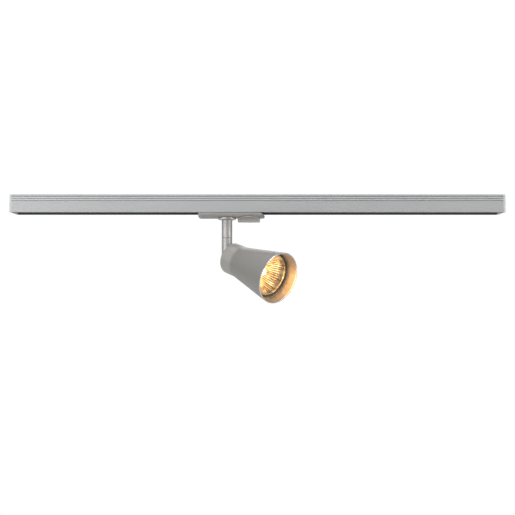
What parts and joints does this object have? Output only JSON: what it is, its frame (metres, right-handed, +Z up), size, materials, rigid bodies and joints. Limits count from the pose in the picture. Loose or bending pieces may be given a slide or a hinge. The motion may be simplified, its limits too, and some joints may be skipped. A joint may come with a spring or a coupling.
{
  "type": "track spotlight",
  "caption": "Lighting track with a sliding spotlight: lock lever, swivel stem, tilting flared metal head and a bayonet-base reflector lamp.",
  "frame": {"origin": "middle of the track's top face, in the ceiling plane", "axes": "+X along the track, +Z up into the ceiling, -Y the side the lamp looks towards at rest"},
  "size_m": [0.607, 0.1011, 0.1335],
  "materials": {
    "track_paint": "satin silver paint on extruded aluminium",
    "cap_plastic": "satin silver-grey plastic",
    "insulator": "matt black",
    "copper": "bare copper",
    "adapter_plastic": "satin silver-grey plastic",
    "black_plastic": "matt black",
    "satin_metal": "satin nickel",
    "head_paint": "satin silver-grey paint",
    "zinc_steel": "zinc plated",
    "brass": "turned brass",
    "ceramic": "opaque off-white ceramic",
    "cable": "matt silicone",
    "lamp_reflector": "facetted glass with a mirror coating",
    "lamp_glass": "clear polished",
    "filament": "glowing tungsten"
  },
  "bodies": {
    "track": {"track_profile": "track_paint", "insulator_front": "insulator", "insulator_rear": "insulator", "slot_liner_front": "insulator", "slot_liner_rear": "insulator", "conductor_line": "copper", "conductor_neutral": "copper", "earth_strip": "copper", "end_cap_left": "cap_plastic", "end_cap_right": "cap_plastic", "end_cap_screws": "zinc_steel"},
    "adapter": {"adapter_body": "adapter_plastic", "adapter_lid": "adapter_plastic", "adapter_cover": "adapter_plastic", "adapter_screws": "zinc_steel", "earth_spring": "copper", "terminal_block": "ceramic", "terminal_screws": "brass", "collar": "satin_metal", "stem_nut": "zinc_steel", "stem_nipple": "brass", "stem_upper": "satin_metal", "swivel_pin": "brass", "cable_upper": "cable"},
    "lock": {"lock_rotor": "black_plastic", "contact_arms": "copper", "lock_lever": "adapter_plastic", "lever_screw": "zinc_steel"},
    "stem": {"stem_lower": "satin_metal", "swivel_washer": "black_plastic", "swivel_spring": "zinc_steel", "hinge_tongue": "satin_metal", "tongue_screw": "zinc_steel", "cable_lower": "cable", "cable_flex": "cable"},
    "head": {"head_shell": "head_paint", "hinge_bracket": "satin_metal", "friction_washers": "black_plastic", "pivot_screw": "zinc_steel", "rear_screws": "zinc_steel", "holder_plate": "zinc_steel", "lamp_holder": "ceramic", "holder_contacts": "brass", "holder_screws": "zinc_steel", "cable_grommet": "black_plastic", "lamp_leads": "cable"},
    "lamp": {"lamp_base": "ceramic", "lamp_pins": "zinc_steel", "lamp_reflector": "lamp_reflector", "lamp_front_glass": "lamp_glass", "lamp_capsule": "lamp_glass", "lamp_filament": "filament"}
  },
  "joints": [
    {"name": "adapter_slide", "type": "slide", "parent": "track", "child": "adapter", "axis": [1, 0, 0], "range_m": [-0.2205, 0.2845]},
    {"name": "lock_turn", "type": "hinge", "parent": "adapter", "child": "lock", "pos_m": [-0.0107, 0, -0.0271], "axis": [0, 0, 1], "range_deg": [0, 90]},
    {"name": "head_pan", "type": "hinge", "parent": "adapter", "child": "stem", "pos_m": [-0.0379, 0, -0.0521], "axis": [0, 0, 1], "range_deg": [-175, 175]},
    {"name": "head_tilt", "type": "hinge", "parent": "stem", "child": "head", "pos_m": [-0.0379, 0, -0.075], "axis": [0.6947, 0.7193, 0], "range_deg": [-18.5, 71.5], "deforming": ["cable_flex"]},
    {"name": "lamp_twist", "type": "hinge", "parent": "head", "child": "lamp", "pos_m": [-0.00379, -0.03294, -0.09087], "axis": [0.6822, -0.6588, -0.3173], "range_deg": [0, 20]}
  ]
}
